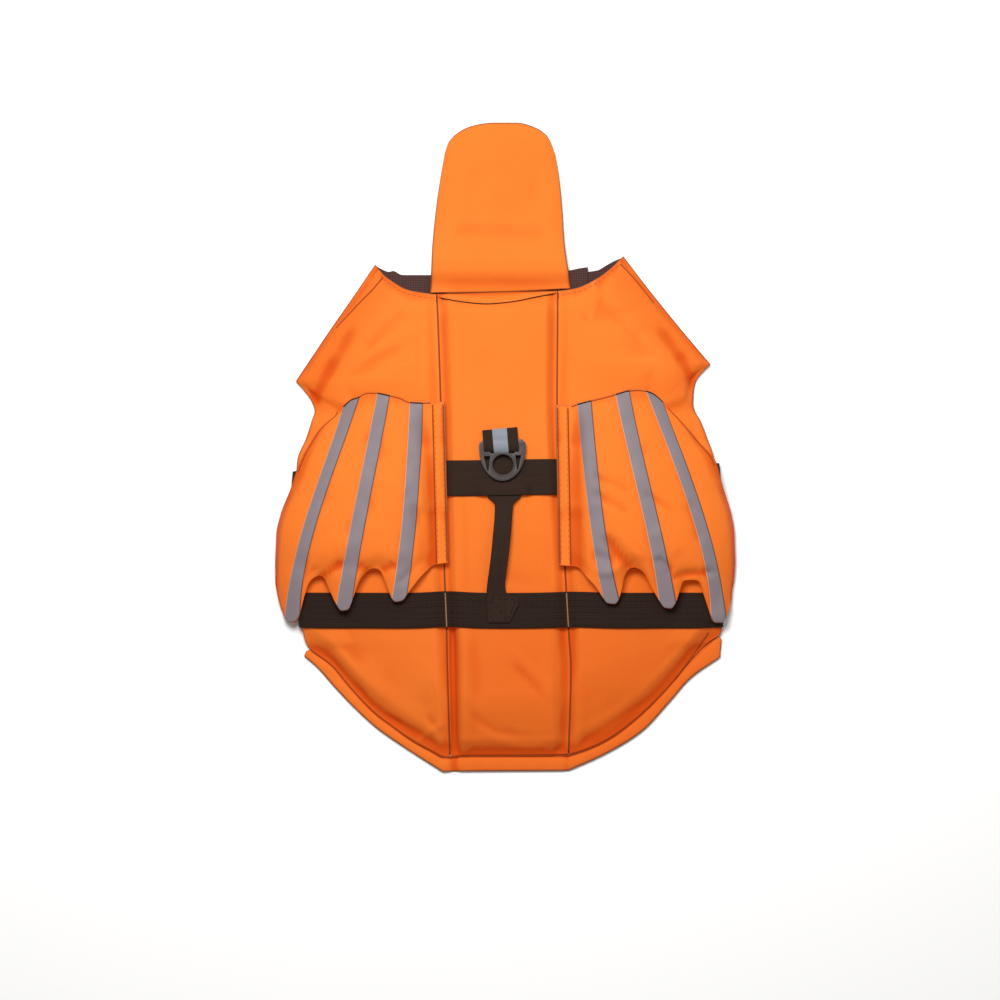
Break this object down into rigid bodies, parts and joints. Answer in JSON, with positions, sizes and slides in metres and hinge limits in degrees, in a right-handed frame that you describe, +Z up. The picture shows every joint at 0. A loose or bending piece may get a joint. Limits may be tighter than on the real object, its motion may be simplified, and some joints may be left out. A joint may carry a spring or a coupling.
{
  "type": "dog life jacket",
  "caption": "Foam-padded dog life jacket with wing-shaped leaves, laid flat with its back up: girth straps, grab handle, leash ring and neck flap.",
  "frame": {"origin": "middle of the box round the jacket, at the floor it lies on", "axes": "+Y towards the neck end, +Z up out of the back, +X towards the side on the viewer's right in a view from above with the neck up"},
  "size_m": [0.3222, 0.4538, 0.0348],
  "materials": {
    "orange_fabric": "woven polyester with a slight sheen",
    "dark_lining": "matte knitted mesh",
    "dark_webbing": "ribbed woven webbing",
    "reflective_tape": "grey retroreflective tape",
    "black_plastic": "moulded acetal, satin"
  },
  "bodies": {
    "jacket": {"back_centre": "orange_fabric", "back_left": "orange_fabric", "back_right": "orange_fabric", "tail_hem": "orange_fabric", "neck_flap": "orange_fabric", "neck_band": "orange_fabric", "wing_left": "orange_fabric", "wing_right": "orange_fabric", "wing_root_left": "orange_fabric", "wing_root_right": "orange_fabric", "chest_left": "dark_lining", "chest_right": "dark_lining", "girth_front": "dark_webbing", "girth_rear": "dark_webbing", "grab_handle": "dark_webbing", "ring_tab": "dark_webbing", "tape_left_1": "reflective_tape", "tape_left_2": "reflective_tape", "tape_left_3": "reflective_tape", "tape_right_1": "reflective_tape", "tape_right_2": "reflective_tape", "tape_right_3": "reflective_tape", "ring_tab_stripe": "reflective_tape", "buckle_front_socket": "black_plastic", "buckle_front_plug": "black_plastic", "buckle_rear_socket": "black_plastic", "buckle_rear_plug": "black_plastic"},
    "leash_ring": {"leash_ring": "black_plastic"}
  },
  "joints": [
    {"name": "ring_hinge", "type": "hinge", "parent": "jacket", "child": "leash_ring", "pos_m": [-0.0018, 0.0015, 0.02647], "axis": [-1, 0, 0], "range_deg": [0, 140]}
  ]
}
